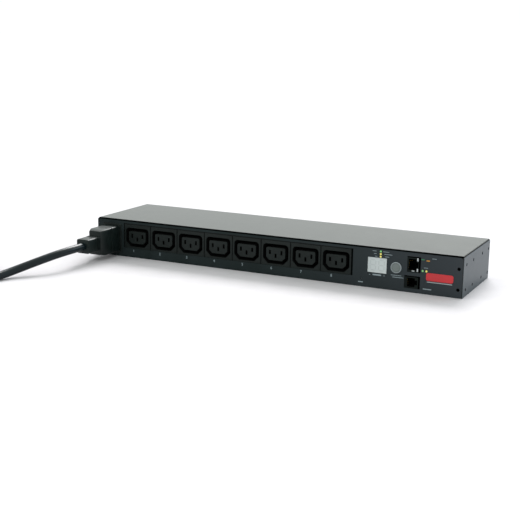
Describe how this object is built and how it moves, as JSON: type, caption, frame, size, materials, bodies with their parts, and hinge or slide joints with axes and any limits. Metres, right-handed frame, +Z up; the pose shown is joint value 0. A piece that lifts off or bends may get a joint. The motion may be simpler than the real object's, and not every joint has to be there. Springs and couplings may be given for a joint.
{
  "type": "rack power strip",
  "caption": "Flat one-unit rack power strip with a row of keyed appliance outlets, mains inlet with cord, small display, button, network and serial jacks.",
  "frame": {"origin": "middle of the underside of the strip, without its cord", "axes": "+X to the right along the front, +Y from the front panel to the rear, +Z up"},
  "size_m": [0.6025, 0.3615, 0.044],
  "materials": {
    "painted_steel": "fine-textured charcoal powder coat",
    "cover_paint": "fine-textured charcoal powder coat",
    "black_screw": "black zinc-plated steel",
    "badge_red": "glossy red",
    "outlet_plastic": "moulded black nylon",
    "relay_plastic": "moulded black relay case",
    "spring_brass": "bright spring brass",
    "circuit_board": "green solder mask on glass epoxy",
    "inlet_plastic": "moulded black nylon",
    "plated_pins": "nickel-plated brass",
    "transformer_steel": "varnished laminations",
    "capacitor_sleeve": "dark blue shrink sleeve",
    "terminal_plastic": "green moulded nylon",
    "zinc_steel": "zinc-plated steel",
    "lead_sleeve": "insulated leads",
    "display_face": "light grey display face",
    "display_bars": "pale translucent bars",
    "button_grey": "moulded grey cap",
    "ring_grey": "moulded light grey ring",
    "switch_plastic": "moulded black switch",
    "green_lens": "translucent green light pipe",
    "yellow_lens": "translucent yellow light pipe",
    "chip_plastic": "black epoxy packages",
    "tinned_shell": "tin-plated shell",
    "jack_plastic": "moulded black jack",
    "gold_wire": "gold-plated wires",
    "ribbon_grey": "grey ribbon cable",
    "cord_rubber": "moulded soft black PVC",
    "cord_sheath": "black PVC sheath",
    "tie_strap": "black hook-and-loop strap"
  },
  "bodies": {
    "chassis": {"chassis_tray": "painted_steel", "top_cover": "cover_paint", "cover_screws": "black_screw", "badge": "badge_red", "outlet_1": "outlet_plastic", "relay_1": "relay_plastic", "outlet_2": "outlet_plastic", "relay_2": "relay_plastic", "outlet_3": "outlet_plastic", "relay_3": "relay_plastic", "outlet_4": "outlet_plastic", "relay_4": "relay_plastic", "outlet_5": "outlet_plastic", "relay_5": "relay_plastic", "outlet_6": "outlet_plastic", "relay_6": "relay_plastic", "outlet_7": "outlet_plastic", "relay_7": "relay_plastic", "outlet_8": "outlet_plastic", "relay_8": "relay_plastic", "outlet_line_contacts": "spring_brass", "outlet_neutral_contacts": "spring_brass", "outlet_earth_contacts": "spring_brass", "outlet_board": "circuit_board", "power_board": "circuit_board", "display_board": "circuit_board", "network_board": "circuit_board", "inlet_housing": "inlet_plastic", "inlet_pins": "plated_pins", "power_transformer": "transformer_steel", "supply_capacitors": "capacitor_sleeve", "terminal_block": "terminal_plastic", "earth_stud": "zinc_steel", "board_standoffs": "zinc_steel", "board_screws": "zinc_steel", "inlet_leads": "lead_sleeve", "display_module": "display_face", "display_segments": "display_bars", "button_ring": "ring_grey", "push_switches": "switch_plastic", "load_led_green": "green_lens", "link_led_green": "green_lens", "load_leds_yellow": "yellow_lens", "link_led_amber": "yellow_lens", "network_chips": "chip_plastic", "ethernet_shell": "tinned_shell", "ethernet_insert": "jack_plastic", "serial_jack": "jack_plastic", "ethernet_contacts": "gold_wire", "serial_contacts": "gold_wire", "ribbon_cable": "ribbon_grey"},
    "display_button": {"display_button": "button_grey"},
    "reset_button": {"reset_button": "switch_plastic"},
    "supply_cord": {"supply_plug": "cord_rubber", "supply_plug_contacts": "spring_brass", "power_cord": "cord_sheath", "cord_coil": "cord_sheath", "cord_tie": "tie_strap", "far_plug": "cord_rubber", "far_plug_pins": "plated_pins"}
  },
  "joints": [
    {"name": "display_button_press", "type": "slide", "parent": "chassis", "child": "display_button", "axis": [0, 1, 0], "range_m": [0, 0.0008], "stiffness_N_per_m": 1500, "springref_m": -0.0008},
    {"name": "reset_button_press", "type": "slide", "parent": "chassis", "child": "reset_button", "axis": [0, 1, 0], "range_m": [0, 0.0004], "stiffness_N_per_m": 2000, "springref_m": -0.0008},
    {"name": "supply_plug_pull", "type": "slide", "parent": "chassis", "child": "supply_cord", "axis": [0, -1, 0], "range_m": [0, 0.024]}
  ]
}
